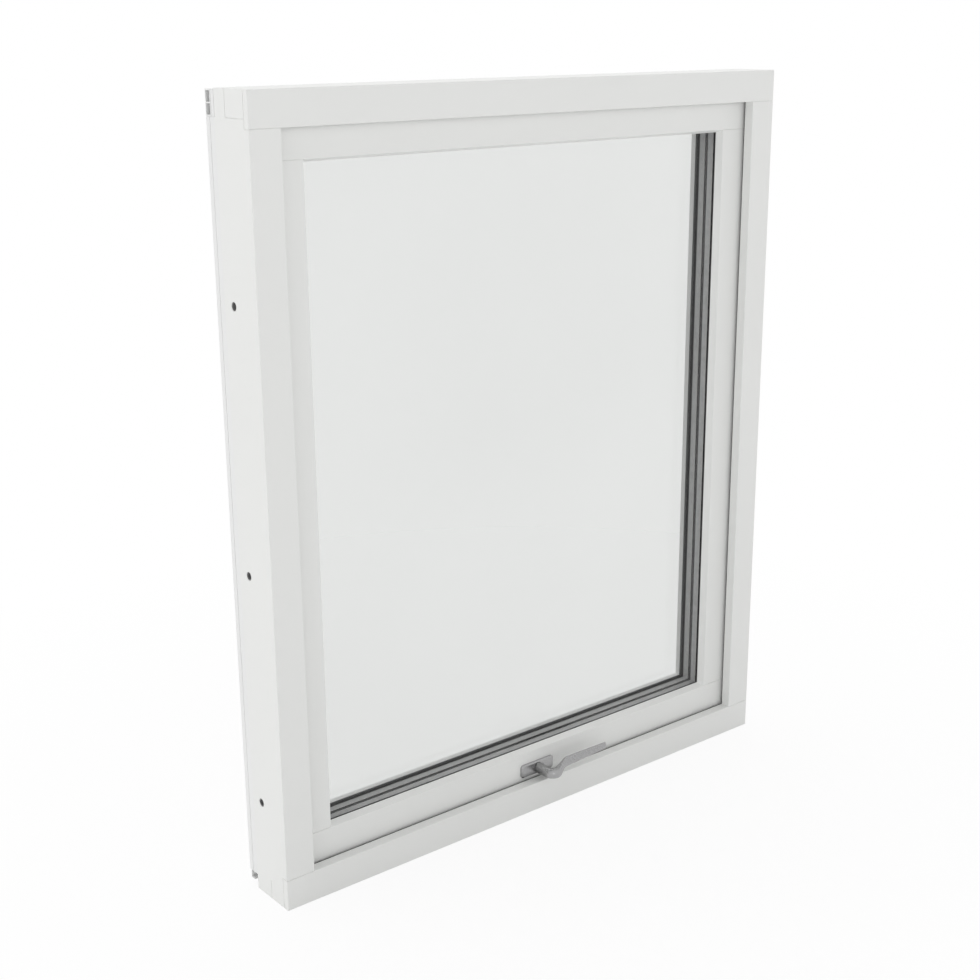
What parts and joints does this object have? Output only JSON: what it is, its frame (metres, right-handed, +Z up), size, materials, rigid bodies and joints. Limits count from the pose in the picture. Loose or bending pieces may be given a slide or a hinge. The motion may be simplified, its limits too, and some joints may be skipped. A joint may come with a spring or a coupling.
{
  "type": "pivot window",
  "caption": "White timber window with aluminium outside: a triple glazed sash closed behind the frame's lip, hung on side arms and sliders, with a lever handle on the bottom rail.",
  "frame": {"origin": "middle of the sill's underside, half way through the timber's depth", "axes": "+X across the window to the right as seen from the room, -Y towards the room, +Y outdoors, +Z up"},
  "size_m": [1.09, 0.1465, 1.29],
  "materials": {
    "painted_timber": "satin white paint",
    "cladding": "powder coated",
    "hinge_steel": "zinc plated",
    "glass": "clear",
    "spacer": "matt grey",
    "seal": "matt",
    "satin_metal": "satin"
  },
  "bodies": {
    "frame": {"frame_stop_head": "painted_timber", "frame_stop_sill": "painted_timber", "frame_stop_left": "painted_timber", "frame_stop_right": "painted_timber", "frame_head": "painted_timber", "frame_sill": "painted_timber", "frame_jamb_left": "painted_timber", "frame_jamb_right": "painted_timber", "frame_cladding_head": "cladding", "frame_cladding_sill": "cladding", "frame_cladding_left": "cladding", "frame_cladding_right": "cladding", "frame_seal": "seal", "slide_rail_front_left": "hinge_steel", "slide_rail_front_right": "hinge_steel", "slide_rail_rear_left": "hinge_steel", "slide_rail_rear_right": "hinge_steel", "frame_pivot_left": "hinge_steel", "frame_pivot_right": "hinge_steel"},
    "arms": {"hinge_arm_left": "hinge_steel", "hinge_arm_right": "hinge_steel"},
    "sash": {"sash_top_rail": "painted_timber", "sash_bottom_rail": "painted_timber", "sash_stile_left": "painted_timber", "sash_stile_right": "painted_timber", "sash_cladding_top": "cladding", "sash_cladding_bottom": "cladding", "sash_cladding_left": "cladding", "sash_cladding_right": "cladding", "glass_inner": "glass", "glass_middle": "glass", "glass_outer": "glass", "spacer_inner": "spacer", "spacer_outer": "spacer", "glazing_gasket_inner": "seal", "glazing_gasket_outer": "seal", "sash_pivot_left": "hinge_steel", "sash_pivot_right": "hinge_steel", "slider_left": "hinge_steel", "slider_right": "hinge_steel", "handle_rose": "satin_metal"},
    "handle": {"handle_lever": "satin_metal", "handle_spindle": "hinge_steel"}
  },
  "joints": [
    {"name": "arm_swing", "type": "hinge", "parent": "frame", "child": "arms", "pos_m": [0, 0.001, 0.642], "axis": [-1, 0, 0], "range_deg": [0, 80]},
    {"name": "sash_turn", "type": "hinge", "parent": "arms", "child": "sash", "pos_m": [0, 0.001, 0.938], "axis": [1, 0, 0], "range_deg": [0, 160]},
    {"name": "handle_turn", "type": "hinge", "parent": "sash", "child": "handle", "pos_m": [0.004, -0.0225, 0.0715], "axis": [0, -1, 0], "range_deg": [0, 90]}
  ],
  "couplings": [
    {"joint": "sash_turn", "follows": "arm_swing", "ratio": 2}
  ]
}
